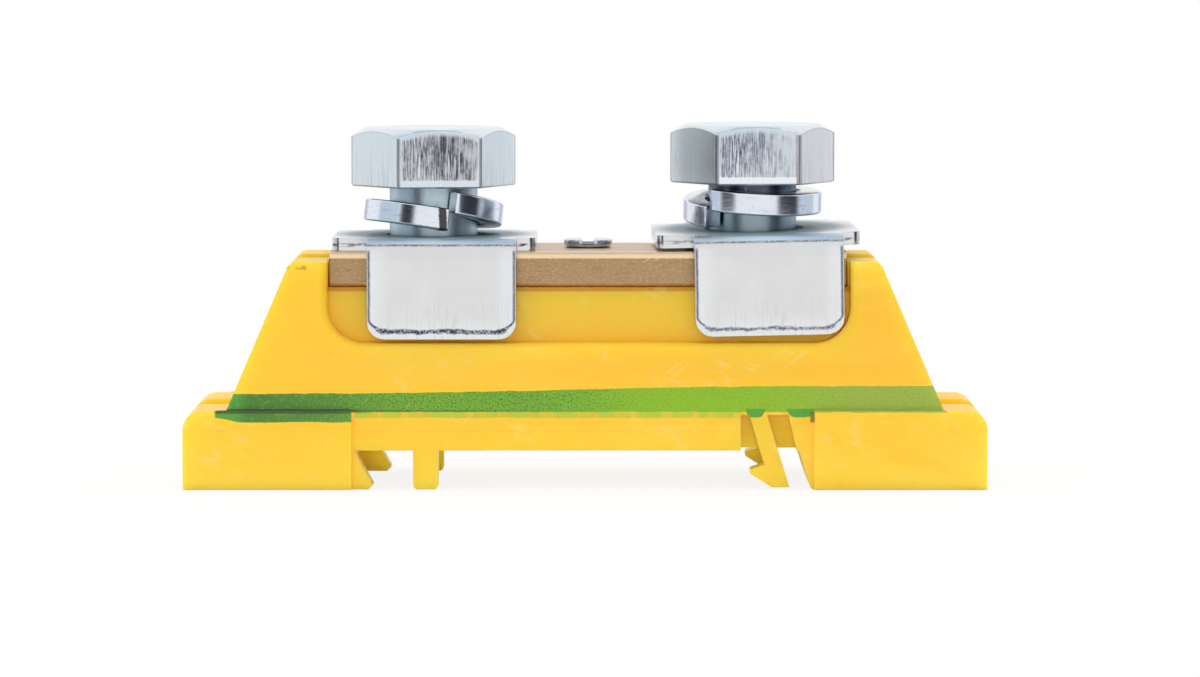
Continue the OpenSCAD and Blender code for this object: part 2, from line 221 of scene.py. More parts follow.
def carrier_moulding(material):
    """The yellow moulding, with the soft edges that a mould leaves."""
    bm = merged_copy("carrier")

    def is_pocket_rim(edge):
        low_z = min(v.co.z for v in edge.verts)
        on_wall = min(abs(v.co.y) for v in edge.verts) > 9.3 * MM
        near_pocket = max(abs(v.co.x) for v in edge.verts) < 25.0 * MM and 11.5 * MM < low_z < 20.3 * MM
        return on_wall and near_pocket and edge.calc_face_angle() > RIM_ANGLE

    bmesh.ops.bevel(bm, geom=[e for e in bm.edges if is_pocket_rim(e)], offset=POCKET_ROUND, offset_type="OFFSET",
                    affect="EDGES", segments=7, profile=0.5, material=-1, clamp_overlap=True)

    weight_edges(bm, lambda edge: 0.59 if max(v.co.z for v in edge.verts) < 0.6 * MM else 1.0)
    piece = finished_piece("carrier_moulding", bm, material, "carrier", "base")
    round_edges(piece, CARRIER_ROUND, 3)


def brass_bar(material):
    """The sawn and tumbled bar."""
    bm = merged_copy("earth_bar")
    weight_edges(bm, lambda edge: 1.0)
    piece = finished_piece("brass_bar", bm, material, "earth_bar", "base")
    round_edges(piece, BAR_ROUND, 2)


def slotted_screw(material):
    """The small screw in the middle of the bar."""
    bm = merged_copy("bar_screw")
    weight_edges(bm, lambda edge: 1.0)
    piece = finished_piece("slotted_screw", bm, material, "bar_screw", "base")
    round_edges(piece, SCREW_ROUND, 2)


def saddle_clamp(side, material):
    """A punched saddle: its outer edges are rolled over by the punch, its inner edges stay sharper."""
    node = side + "_clamp"
    bm = merged_copy(node)
    weight_edges(bm, lambda edge: 1.0 if min(abs(v.co.y) for v in edge.verts) > 8.75 * MM else 0.4)
    piece = finished_piece(side + "_saddle_clamp", bm, material, node, side + "_saddle")
    round_edges(piece, SADDLE_ROUND, 4)


def spring_coil(side, material):
    """One open turn of square wire, rising clockwise from the cut, that lies loose and tilted."""
    node = side + "_spring_washer"
    bolt = BOLTS[side]
    middle = (COIL_RISE + COIL_T) / 2
    turn = math.radians(360 - COIL_GAP)
    start = math.radians(bolt["split"] - COIL_GAP / 2)
    bm = bmesh.new()
    bmesh.ops.create_grid(bm, x_segments=1, y_segments=1, size=0.5)
    bmesh.ops.scale(bm, vec=(COIL_OUT_R - COIL_IN_R, COIL_T, 1), verts=bm.verts)
    bmesh.ops.bevel(bm, geom=list(bm.verts), offset=WIRE_ROUND, offset_type="OFFSET", affect="VERTICES",
                    segments=4, profile=0.5, material=-1)
    bmesh.ops.rotate(bm, cent=(0, 0, 0), matrix=Matrix.Rotation(RIGHT_ANGLE, 3, "X"), verts=bm.verts)
    bmesh.ops.translate(bm, vec=((COIL_IN_R + COIL_OUT_R) / 2, 0, COIL_T / 2), verts=bm.verts)
    bmesh.ops.rotate(bm, cent=(0, 0, 0), matrix=Matrix.Rotation(start, 3, "Z"), verts=bm.verts)
    bmesh.ops.spin(bm, geom=list(bm.faces) + list(bm.edges) + list(bm.verts), cent=(0, 0, 0),
                   axis=(0, 0, 1), dvec=(0, 0, COIL_RISE / COIL_STEPS), angle=-turn, steps=COIL_STEPS)
    tilt_x, tilt_y = (math.radians(a) for a in bolt["coil_tilt"])
    tilt = Matrix.Rotation(tilt_y, 3, "Y") @ Matrix.Rotation(tilt_x, 3, "X")
    bmesh.ops.rotate(bm, cent=(0, 0, middle), matrix=tilt, verts=bm.verts)
    bmesh.ops.translate(bm, vec=(bolt["x"], 0, PLATE_TOP + bolt["coil_lift"]), verts=bm.verts)
    bmesh.ops.recalc_face_normals(bm, faces=bm.faces)
    weight_edges(bm, lambda edge: 1.0 if edge.calc_face_angle() > math.radians(60) else 0.0)
    piece = finished_piece(side + "_spring_coil", bm, material, node, side + "_saddle")
    round_edges(piece, COIL_ROUND, 2)


def threaded_shank(bm, x, tip_z, head_z):
    """A closed shank: a rolled thread up from the tip, then a plain neck into the head."""
    turns = math.ceil(THREAD_LENGTH / THREAD_PITCH) + 3
    flat = 0.12 * THREAD_PITCH
    flank = THREAD_PITCH / 2 - flat
    corners = [(THREAD_ROOT_R, 0), (THREAD_ROOT_R, flat), (THREAD_R, flat + flank),
               (THREAD_R, 2 * flat + flank), (THREAD_ROOT_R, THREAD_PITCH)]
    rib = [bm.verts.new((r, 0, tip_z - 2 * THREAD_PITCH + z)) for r, z in corners]
    edges = [bm.edges.new(pair) for pair in zip(rib, rib[1:])]
    bmesh.ops.spin(bm, geom=rib + edges, cent=(0, 0, 0), axis=(0, 0, 1), dvec=(0, 0, THREAD_PITCH / THREAD_STEPS),
                   angle=2 * math.pi * turns, steps=THREAD_STEPS * turns)
    bmesh.ops.remove_doubles(bm, verts=bm.verts, dist=THREAD_WELD)
    top_z = tip_z + THREAD_LENGTH
    for cut_z, side in ((tip_z, -1), (top_z, 1)):
        bmesh.ops.bisect_plane(bm, geom=list(bm.verts) + list(bm.edges) + list(bm.faces), dist=CUT_SNAP,
                               plane_co=(0, 0, cut_z), plane_no=(0, 0, side), clear_outer=True)
    for v in bm.verts:
        radius = math.hypot(v.co.x, v.co.y)
        chamfer = THREAD_R - TIP_CHAMFER + (v.co.z - tip_z)
        run_out = min(1.0, max(0.0, (v.co.z - top_z + 1.6 * THREAD_PITCH) / (1.4 * THREAD_PITCH)))
        wanted = min(radius + (THREAD_R - radius) * run_out, chamfer)
        v.co.x *= wanted / radius
        v.co.y *= wanted / radius
    rims = [[e for e in bm.edges if e.is_boundary and abs(e.verts[0].co.z - z) < 1e-6] for z in (tip_z, top_z)]
    bmesh.ops.contextual_create(bm, geom=rims[0])
    neck = bmesh.ops.extrude_edge_only(bm, edges=rims[1])
    neck_rim = [v for v in neck["geom"] if isinstance(v, bmesh.types.BMVert)]
    bmesh.ops.translate(bm, vec=(0, 0, head_z + NECK_IN_HEAD - top_z), verts=neck_rim)
    bmesh.ops.contextual_create(bm, geom=[e for e in neck["geom"] if isinstance(e, bmesh.types.BMEdge)
                                          and e.is_boundary])
    bmesh.ops.translate(bm, vec=(x, 0, 0), verts=bm.verts)
    bmesh.ops.recalc_face_normals(bm, faces=bm.faces)


def hexagon_bolt(side, material):
    """A cold-headed bolt: the head has rounded corners, the shank a real thread."""
    node = side + "_bolt"
    x = BOLTS[side]["x"]
    low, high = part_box(node)
    head_z = high.z - HEAD_HEIGHT
    head = merged_copy(node)
    bmesh.ops.bisect_plane(head, geom=list(head.verts) + list(head.edges) + list(head.faces), dist=CUT_SNAP,
                           plane_co=(0, 0, head_z - HEAD_STUB), plane_no=(0, 0, 1), clear_inner=True)
    bmesh.ops.holes_fill(head, edges=[e for e in head.edges if e.is_boundary], sides=0)

    def is_low(edge):
        return max(v.co.z for v in edge.verts) < head_z + 0.05 * MM

    def is_outer(edge):
        return min(math.hypot(v.co.x - x, v.co.y) for v in edge.verts) > HEAD_EDGE_R

    bmesh.ops.bevel(head, geom=[e for e in head.edges if is_low(e) and is_outer(e)], offset=HEAD_CHAMFER,
                    offset_type="OFFSET", affect="EDGES", segments=1, profile=0.5, material=-1)

    def share(edge):
        if is_low(edge):
            return 0.4 if is_outer(edge) else 0.0
        heights = [v.co.z for v in edge.verts]
        return 1.0 if max(heights) - min(heights) > 2 * MM else 0.5

    weight_edges(head, share)
    piece = finished_piece(side + "_bolt_head", head, material, node, side + "_screw")
    round_edges(piece, HEAD_ROUND, 3)
    shank = bmesh.new()
    threaded_shank(shank, x, low.z, head_z)
    stem = finished_piece(side + "_bolt_shank", shank, material, node, side + "_screw")
    stem.data.set_sharp_from_angle(angle=math.radians(50))


# Finishes

class Finish:
    """A material in the making, with short names for the nodes that the finishes use."""

    def __init__(self, name, centre=None, turn=(0, 0, 0)):
        self.material = bpy.data.materials.new(name)
        self.material.use_nodes = True
        self.tree = self.material.node_tree
        self.tree.nodes.clear()
        self.place = self.add("ShaderNodeTexCoord").outputs["Object"]
        if centre is not None:
            angles = tuple(math.radians(a) for a in turn)
            self.place = self.add("ShaderNodeMapping", {"Vector": self.place, "Location": centre, "Rotation": angles},
                                  vector_type="TEXTURE").outputs[0]
        axes = self.add("ShaderNodeSeparateXYZ", {"Vector": self.place})
        self.x, self.y, self.z = axes.outputs

    def add(self, kind, inputs=None, **settings):
        node = self.tree.nodes.new(kind)
        for key, value in settings.items():
            setattr(node, key, value)
        for key, value in (inputs or {}).items():
            self.feed(node.inputs[key], value)
        return node

    def feed(self, socket, value):
        if isinstance(value, bpy.types.NodeSocket):
            self.tree.links.new(value, socket)
        else:
            socket.default_value = value

    def calc(self, operation, a, b=0.0, clamp=False):
        return self.add("ShaderNodeMath", {0: a, 1: b}, operation=operation, use_clamp=clamp).outputs[0]

    def rise(self, value, start, end):
        """0 before start, 1 after end, smooth between them."""
        node = self.add("ShaderNodeMapRange", {"Value": value, "From Min": start, "From Max": end},
                        interpolation_type="SMOOTHSTEP")
        return node.outputs["Result"]

    def band(self, value, start, end, soft):
        """1 between start and end, 0 outside them."""
        up = self.rise(value, start - soft, start + soft)
        down = self.rise(value, end + soft, end - soft)
        return self.calc("MULTIPLY", up, down)

    def both(self, *masks):
        """Where all the masks are."""
        result = masks[0]
        for mask in masks[1:]:
            result = self.calc("MULTIPLY", result, mask)
        return result

    def either(self, *masks):
        """Where any of the masks is."""
        result = masks[0]
        for mask in masks[1:]:
            result = self.calc("MAXIMUM", result, mask)
        return result

    def stretched(self, scale, turn=(0, 0, 0)):
        """Places, first turned, in which a pattern is finer along an axis by that axis' scale."""
        angles = tuple(math.radians(a) for a in turn)
        return self.add("ShaderNodeMapping", {"Vector": self.place, "Rotation": angles,
                                              "Scale": tuple(1 / s for s in scale)}, vector_type="TEXTURE").outputs[0]

    def noise(self, size, detail=3.0, rough=0.55, place=None, distort=0.0):
        """Cloudy pattern with features of about that size, in metres."""
        node = self.add("ShaderNodeTexNoise", {"Vector": place or self.place, "Scale": 1 / size, "Detail": detail,
                                               "Roughness": rough, "Distortion": distort})
        return node.outputs["Fac"]

    def mix(self, share, a, b):
        node = self.add("ShaderNodeMix", data_type="RGBA")
        self.feed(node.inputs[0], share)
        self.feed(node.inputs[6], a if isinstance(a, bpy.types.NodeSocket) else (*a, 1))
        self.feed(node.inputs[7], b if isinstance(b, bpy.types.NodeSocket) else (*b, 1))
        return node.outputs[2]

    def tint(self, colour, mask, share, tone):
        """The colour, with a share of the tone over it inside the mask."""
        return self.mix(self.calc("MULTIPLY", mask, share), colour, tone)

    def plus(self, value, mask, share):
        """The value with a share of the mask added."""
        return self.calc("ADD", value, self.calc("MULTIPLY", mask, share))

    def shaken(self, value, noise, span):
        """The value, moved up and down by a noise."""
        return self.plus(value, self.calc("SUBTRACT", noise, 0.5), span)

    def length(self, a, b):
        return self.calc("SQRT", self.calc("ADD", self.calc("MULTIPLY", a, a), self.calc("MULTIPLY", b, b)))

    def between(self, share, low, high):
        """The share, stretched from 0 and 1 to low and high."""
        node = self.add("ShaderNodeMapRange", {"Value": share, "To Min": low, "To Max": high})
        return node.outputs["Result"]

    def bump(self, height, depth, normal=None, strength=1.0):
        """Relief of that depth in metres."""
        node = self.add("ShaderNodeBump", {"Strength": strength, "Distance": depth, "Height": height})
        if normal is not None:
            self.feed(node.inputs["Normal"], normal)
        return node.outputs["Normal"]

    def surface(self, colour, roughness, normal, **others):
        """Ends the material in one shader, with any other sockets given by name."""
        shader = self.add("ShaderNodeBsdfPrincipled",
                          {"Base Color": colour, "Roughness": roughness, "Normal": normal})
        for key, value in others.items():
            self.feed(shader.inputs[key.replace("_", " ")], value)
        self.show(shader)
        return self.material

    def show(self, shader):
        self.add("ShaderNodeOutputMaterial", {"Surface": shader.outputs[0]})


def yellow_polyamide():
    """Satin moulded plastic, a little cloudy and scuffed, with the green stripe rolled on its walls, painted glow low
    down and in the hollow beneath the block, and painted shade in the pocket and under the bar.
    """
    f = Finish("yellow_polyamide")
    cloud = f.noise(14 * MM, 4)
    flow = f.noise(9 * MM, 3, place=f.stretched((0.35, 1, 1.6)))
    grain = f.noise(0.35 * MM, 2)
    depth = f.calc("ABSOLUTE", f.y)
    middle = f.both(f.band(f.z, 9.5 * MM, 19 * MM, 1.5 * MM), f.rise(f.x, -27 * MM, -19 * MM))
    tone = f.plus(f.calc("MULTIPLY", middle, 0.7), cloud, 0.6)
    yellow = f.mix(f.calc("SUBTRACT", tone, 0.3, clamp=True), (0.975, 0.572, 0.029), (0.845, 0.510, 0.030))
    yellow = f.tint(yellow, f.rise(flow, 0.5, 0.75), 0.4, (0.985, 0.66, 0.070))
    # Painted light: below 4.5 mm the plastic is painted lighter and warmer, for light shining through the thin feet.
    yellow = f.tint(yellow, f.rise(f.z, 4.5 * MM, 0.0), 0.5, (0.985, 0.65, 0.055))
    orange = f.both(f.rise(f.noise(6 * MM, 3, place=f.stretched((1, 1, 2))), 0.52, 0.68), f.rise(f.x, 0, 26 * MM))
    yellow = f.tint(yellow, orange, 0.5, (0.95, 0.50, 0.017))
    # Painted glow: low down behind the front wall, in the hollow beneath the block and round the latch, the plastic
    # is painted a brighter yellow in place of light coming through it.
    bay_glow = f.both(f.rise(f.z, 6.6 * MM, 6.2 * MM), f.rise(depth, 9.5 * MM, 9.2 * MM))
    yellow = f.tint(yellow, bay_glow, 0.9, (1.0, 0.70, 0.035))
    inset = f.rise(depth, 9.0 * MM, 8.6 * MM)
    # Painted shade: the pocket's back wall, between 13.2 and 17.4 mm, is painted a duller, darker mustard; set by
    # depth and height alone, it also falls on the end faces.
    inner_wall = f.both(inset, f.band(f.z, 13.2 * MM, 17.4 * MM, 0.5 * MM), f.between(cloud, 0.1, 0.7))
    yellow = f.mix(inner_wall, yellow, (0.84, 0.60, 0.05))
    # Painted shadow: a thin orange-brown band on the pocket's back wall just under the bar; set by depth and height
    # alone, it also falls on the end faces near the top.
    shadow_under_bar = f.both(inset, f.band(f.z, 17.62 * MM, 18.2 * MM, 0.08 * MM))
    yellow = f.tint(yellow, shadow_under_bar, 0.85, (0.70, 0.26, 0.006))
    worn = f.rise(f.noise(8 * MM), 0.44, 0.62)
    scuffed = f.both(f.rise(f.noise(1.3 * MM, 5, 0.7, f.stretched((0.55, 1, 1.2), (0, 24, 0))), 0.50, 0.72), worn)
    scratch = f.either(f.rise(f.noise(0.5 * MM, 2, 0.5, f.stretched((0.07, 1, 1), (0, -38, 0))), 0.64, 0.70),
                       f.rise(f.noise(0.5 * MM, 2, 0.5, f.stretched((0.09, 1, 1), (0, 21, 0))), 0.66, 0.72))
    yellow = f.tint(yellow, scuffed, 0.27, (0.99, 0.80, 0.36))
    scratched = f.both(scratch, f.rise(f.noise(5 * MM, 2), 0.52, 0.64))
    yellow = f.tint(yellow, scratched, 0.15, (0.99, 0.86, 0.52))
    smudge = f.both(f.band(f.x, -27.2 * MM, -24.4 * MM, 0.1 * MM), f.band(f.z, 19.75 * MM, 20.05 * MM, 0.15 * MM),
                    f.rise(f.y, -9.3 * MM, -9.4 * MM), f.rise(f.noise(0.5 * MM, 0), 0.46, 0.66))
    yellow = f.tint(yellow, smudge, 0.75, (0.20, 0.19, 0.03))

    level = f.shaken(f.z, f.noise(1.8 * MM, 4, 0.6), 0.22 * MM)
    on_wall = f.rise(depth, 9.5 * MM, 9.6 * MM)
    on_foot = f.rise(depth, 9.85 * MM, 9.95 * MM)
    top_z = f.between(f.rise(f.x, -24 * MM, 20 * MM), *STRIPE_TOP)
    under_top = f.rise(f.calc("SUBTRACT", level, top_z), 0.05 * MM, -0.05 * MM)
    stripe = f.both(on_wall, under_top, f.rise(level, STRIPE_FOOT - 0.08 * MM, STRIPE_FOOT),
                    f.band(f.x, *STRIPE_ENDS, 0.1 * MM))
    cover = f.noise(0.5 * MM, 3, 0.7)
    smear = f.noise(1.2 * MM, 3, 0.6, f.stretched((1, 1, 0.2)))
    thin = f.both(on_wall, f.band(level, 6.44 * MM, STRIPE_FOOT, 0.07 * MM),
                  f.band(f.x, -20.6 * MM, 14 * MM, 0.2 * MM), f.between(f.rise(smear, 0.35, 0.62), 0.4, 1.0))
    foot_low = f.between(f.rise(f.x, -33.2 * MM, -30.5 * MM), 6.5 * MM, 6.08 * MM)
    edge = f.both(on_foot, f.rise(f.calc("SUBTRACT", level, foot_low), -0.05 * MM, 0.05 * MM),
                  f.band(f.x, -33.1 * MM, -20.6 * MM, 0.15 * MM))
    hanging = []
    for middle_x, half in DROPS:
        off = f.calc("DIVIDE", f.calc("SUBTRACT", f.x, middle_x), half)
        round_off = f.calc("MULTIPLY", f.calc("POWER", f.calc("ABSOLUTE", off), 4.0), 0.5 * MM)
        hanging.append(f.rise(f.calc("SUBTRACT", level, round_off), 6.42 * MM, 6.52 * MM))
    drops = f.both(on_wall, f.either(*hanging), f.rise(f.z, 7.3 * MM, 7.2 * MM), f.rise(f.x, 14 * MM, 14.2 * MM),
                   f.rise(f.x, 20.7 * MM, 20.5 * MM))
    # A dark olive line down the step of the right foot, x 20.15 to 20.55 mm, z 6.05 to 7.0 mm.
    dark_step_line = f.both(on_wall, f.band(f.x, 20.15 * MM, 20.55 * MM, 0.06 * MM), f.band(f.z, 6.05 * MM, 7.0 * MM, 0.1 * MM))
    paint = f.either(stripe, f.calc("MULTIPLY", thin, 0.9), edge, drops)

    dots = f.noise(0.16 * MM, 2)
    green = f.mix(f.rise(f.x, -29 * MM, -12 * MM), (0.004, 0.175, 0.024), (0.110, 0.360, 0.018))
    green = f.mix(f.rise(f.x, -6 * MM, 8 * MM), green, (0.200, 0.455, 0.010))
    green = f.mix(f.rise(f.x, 13 * MM, 27 * MM), green, (0.275, 0.410, 0.055))
    green = f.mix(f.rise(f.x, -30 * MM, -31.2 * MM), green, (0.020, 0.290, 0.045))
    green = f.tint(green, f.rise(cover, 0.5, 0.75), 0.4, (0.34, 0.50, 0.07))
    pale = f.plus(0.08, f.band(f.x, -27 * MM, -12 * MM, 4 * MM), 0.14)
    green = f.mix(f.both(f.rise(dots, 0.52, 0.64), pale), green, (0.36, 0.52, 0.12))
    deep = f.plus(0.25, f.band(f.x, -28 * MM, 2 * MM, 6 * MM), 0.75)
    green = f.mix(f.both(f.rise(dots, 0.50, 0.38), deep), green, (0.012, 0.17, 0.035))
    green = f.mix(drops, green, (0.040, 0.31, 0.035))
    green = f.tint(green, thin, f.rise(f.z, STRIPE_FOOT, 6.9 * MM), (0.34, 0.54, 0.05))
    # A dark teal line in the corner between the wall and the feet, heaviest on the left: partly paint gathered in the
    # corner, partly painted shade of the corner.
    ink_pool_and_shade = f.both(f.band(f.z, 6.86 * MM, 7.2 * MM, 0.06 * MM), f.rise(f.x, -18 * MM, -22 * MM))
    seam = f.both(f.band(f.z, 7.0 * MM, 7.12 * MM, 0.04 * MM), f.rise(f.x, 0, -14 * MM))
    dark = f.either(ink_pool_and_shade, f.calc("MULTIPLY", seam, 0.6))
    green = f.tint(green, dark, 0.92, (0.002, 0.050, 0.040))
    share = f.calc("MULTIPLY", paint, f.between(cover, 0.9, 1.0))
    colour = f.mix(share, yellow, green)
    colour = f.tint(colour, dark_step_line, 0.75, (0.06, 0.12, 0.01))
    rough = f.plus(f.between(cloud, 0.34, 0.46), f.calc("ADD", scuffed, paint), 0.12)
    rough = f.plus(rough, f.both(paint, f.either(ink_pool_and_shade, seam)), 0.5)
    relief = f.bump(grain, 0.012 * MM)
    relief = f.bump(paint, 0.02 * MM, relief)
    relief = f.bump(dots, 0.01 * MM, relief)
    relief = f.bump(flow, 0.05 * MM, relief, 0.6)
    return f.surface(colour, rough, relief, Subsurface_Weight=f.between(paint, 0.65, 0.3),
                     Subsurface_Radius=(1.0, 0.75, 0.2), Subsurface_Scale=0.005, IOR=1.5)


def dull_brass():
    """Rolled and tumbled brass that has gone dull, rubbed bright along its long edges under a painted highlight, with
    a painted highlight along the lower edges and a painted sheen on the top.
    """
    f = Finish("dull_brass")
    rolled = f.noise(0.22 * MM, 4, 0.65, f.stretched((0.12, 1, 1)))
    speck = f.noise(0.15 * MM, 3, 0.7, f.stretched((0.5, 1, 1)))
    cloud = f.noise(2.5 * MM, 5, 0.6, f.stretched((0.6, 1, 1)))
    colour = f.mix(f.between(cloud, 0.1, 0.9), (0.39, 0.250, 0.122), (0.49, 0.330, 0.175))
    colour = f.tint(colour, f.rise(speck, 0.46, 0.66), 0.5, (0.64, 0.46, 0.28))
    colour = f.tint(colour, f.rise(rolled, 0.52, 0.72), 0.5, (0.26, 0.16, 0.075))
    scratch = f.rise(f.noise(0.9 * MM, 3, 0.6, f.stretched((0.1, 1, 1.2), (0, -32, 0))), 0.68, 0.74)
    colour = f.tint(colour, scratch, 0.6, (0.86, 0.72, 0.52))
    depth = f.calc("ABSOLUTE", f.y)
    corner = f.calc("ADD", f.calc("SUBTRACT", depth, BAR_EDGE[0]), f.calc("SUBTRACT", f.z, BAR_EDGE[1]))
    # Painted highlight over rubbed brass: the rounded top edges are painted pale, partly rubbed metal, partly a
    # painted highlight.
    ragged = f.shaken(corner, speck, 0.12 * MM)
    rubbed = f.rise(ragged, 0.54 * MM, 0.66 * MM)
    colour = f.tint(colour, rubbed, 0.9, (1.0, 0.74, 0.46))
    # Painted highlight: a pale line along the lower rounded edges.
    low_edge = f.both(f.rise(f.z, 18.16 * MM, 18.06 * MM), f.rise(depth, 7.2 * MM, 7.4 * MM))
    colour = f.tint(colour, low_edge, 0.7, (0.90, 0.68, 0.42))
    # Painted sheen: the top face is painted a pale pinkish tone for the reflection it shows.
    top = f.rise(f.z, 21.1 * MM, 21.18 * MM)
    colour = f.tint(colour, top, 0.5, (0.80, 0.64, 0.54))
    rough = f.plus(f.between(rolled, 0.34, 0.5), f.either(scratch, rubbed), -0.1)
    relief = f.bump(rolled, 0.012 * MM)
    relief = f.bump(speck, 0.01 * MM, relief)
    return f.surface(colour, rough, relief, Metallic=1.0)


def bolt_zinc(side):
    """Bright zinc on a cold-headed bolt: pale sides, each flat painted its own tone as a reflection, painted
    highlights on the crown and along the foot of the front flat, painted shade on the bottom edge and the neck, and a
    front flat dark with drawn streaks and a painted reflection.
    """
    bolt = BOLTS[side]
    f = Finish(side + "_bolt_zinc", (bolt["x"], 0, bolt["head_z"]), (0, 0, bolt["turn"]))
    streak = f.noise(0.26 * MM, 3, 0.6, f.stretched((1, 1, 0.05)))
    fine = f.noise(0.11 * MM, 3, 0.6, f.stretched((1, 1, 0.06)))
    cloud = f.noise(2.6 * MM, 4)
    speck = f.noise(0.25 * MM, 2)
    head = f.rise(f.z, -0.1 * MM, 0.0)
    colour = f.mix(f.between(cloud, 0.0, 1.0), (0.60, 0.68, 0.745), (0.74, 0.77, 0.80))
    # Painted reflection: each side flat of the head is painted its own tone, lighter or darker as the reflection it
    # shows.
    for flat, sign, share in (("left_flat_reflection", -1, 0.9), ("right_flat_reflection", 1, 0.8)):
        out = f.plus(f.calc("MULTIPLY", f.x, sign * HEX_COS), f.y, -HEX_SIN)
        on_flat = f.both(head, f.rise(out, *HEX_FLAT), f.rise(f.y, 0.2 * MM, -2.4 * MM))
        colour = f.tint(colour, on_flat, share, bolt[flat])
    lines = f.both(head, f.rise(streak, 0.48, 0.66), f.rise(f.z, 4.6 * MM, 0.2 * MM))
    colour = f.tint(colour, lines, 0.4, (0.40, 0.39, 0.39))
    # Painted shade: the lowest band of the head, along its bottom edge, is painted dark.
    under = f.both(head, f.rise(f.z, 0.19 * MM, 0.10 * MM))
    colour = f.tint(colour, under, 0.75, (0.30, 0.29, 0.29))
    radius = f.length(f.x, f.y)
    drop = f.calc("MULTIPLY", f.calc("SUBTRACT", HEAD_HEIGHT, f.z), CROWN_SLOPE)
    cone = f.calc("SUBTRACT", f.calc("ADD", drop, CROWN_R), radius)
    # Painted highlight: the top chamfer and the top face of the head are painted pale.
    crown = f.both(head, f.either(f.rise(cone, 0.10 * MM, 0.05 * MM), f.rise(f.z, 5.2 * MM, 5.25 * MM)))
    colour = f.tint(colour, crown, f.between(cloud, 0.5, 1.0), (0.80, 0.86, 0.90))
    rim = f.both(head, f.band(cone, 0.16 * MM, 0.26 * MM, 0.06 * MM), f.between(streak, 0.3, 1.0))
    colour = f.tint(colour, rim, 0.5, (0.30, 0.28, 0.27))
    reach = f.plus(radius, f.both(f.rise(f.x, 0, 1 * MM), streak), 2 * bolt["corner"])
    ridge = f.both(head, f.rise(reach, 7.38 * MM, 7.43 * MM), f.rise(cone, 0.0, 0.3 * MM),
                   f.between(streak, 0.3, 1.0))
    colour = f.tint(colour, ridge, 0.9, (0.16, 0.15, 0.15))
    # The front flat: a dark field of drawn streaks in the zinc with a painted dark reflection over it; the lighter
    # tone between the streaks is partly painted reflection too.
    front = f.rise(f.calc("MULTIPLY", f.y, -1), *HEX_FLAT)
    blotch = f.noise(0.55 * MM, 4, 0.7, f.stretched((1, 1, 0.5)))
    hair = f.noise(0.10 * MM, 2, 0.5, f.stretched((1, 1, 0.02)))
    across = f.shaken(f.x, cloud, 1.2 * MM)
    up = f.shaken(f.z, fine, 0.25 * MM)
    field = f.both(front, f.band(across, -3.45 * MM, 3.4 * MM, 0.2 * MM), f.rise(up, 0.70 * MM, 0.78 * MM),
                   f.rise(cone, 0.1 * MM, 1.0 * MM))
    wear_and_reflection = f.plus(f.calc("MULTIPLY", blotch, 0.27), fine, 0.42)
    wear_and_reflection = f.plus(wear_and_reflection, cloud, 0.21)
    centre = f.both(f.rise(f.calc("ABSOLUTE", f.x), 3.4 * MM, 0.6 * MM), f.rise(f.z, 0.4 * MM, 3.0 * MM))
    wear_and_reflection = f.plus(wear_and_reflection, centre, 0.04)
    wear_and_reflection = f.plus(wear_and_reflection, f.rise(f.x, 1.5 * MM, -2.5 * MM), bolt["lean"])
    grey = f.mix(f.rise(wear_and_reflection, *bolt["bite"]), bolt["rubbed"], bolt["dark_patch"])
    grey = f.tint(grey, f.rise(hair, 0.58, 0.63), 0.85, (0.80, 0.82, 0.86))
    amount = f.between(f.rise(f.x, -2 * MM, 3.4 * MM), *bolt["field_share"])
    # Painted highlight: a pale strip along the foot of the front flat, for the table's reflection in the lower
    # chamfer.
    strip = f.both(front, f.rise(up, 0.76 * MM, 0.70 * MM), f.band(f.x, -3.5 * MM, 3.45 * MM, 0.1 * MM))
    colour = f.tint(colour, strip, f.between(hair, 0.5, 1.0), bolt["strip"])
    colour = f.tint(colour, field, amount, grey)
    # Painted reflection and shade: the neck below the head is painted a bluish grey, darker on the right bolt, for
    # what it reflects and the shade between head and sheet.
    stem = f.rise(f.z, 0.0, -0.15 * MM)
    colour = f.tint(colour, stem, 0.85, bolt["stem"])
    shade = f.both(stem, f.rise(f.z, -1.1 * MM, -0.4 * MM))
    colour = f.tint(colour, shade, bolt["shade"], (0.06, 0.07, 0.11))
    colour = f.tint(colour, f.rise(speck, 0.6, 0.75), 0.2, (0.90, 0.92, 0.94))
    coarse = f.calc("ADD", streak, f.calc("ADD", stem, field))
    rough = f.plus(f.between(cloud, 0.14, 0.22), coarse, 0.1)
    relief = f.bump(streak, 0.008 * MM)
    relief = f.bump(f.calc("MULTIPLY", field, wear_and_reflection), 0.02 * MM, relief, 0.8)
    relief = f.bump(speck, 0.005 * MM, relief)
    return f.surface(colour, rough, relief, Metallic=1.0)


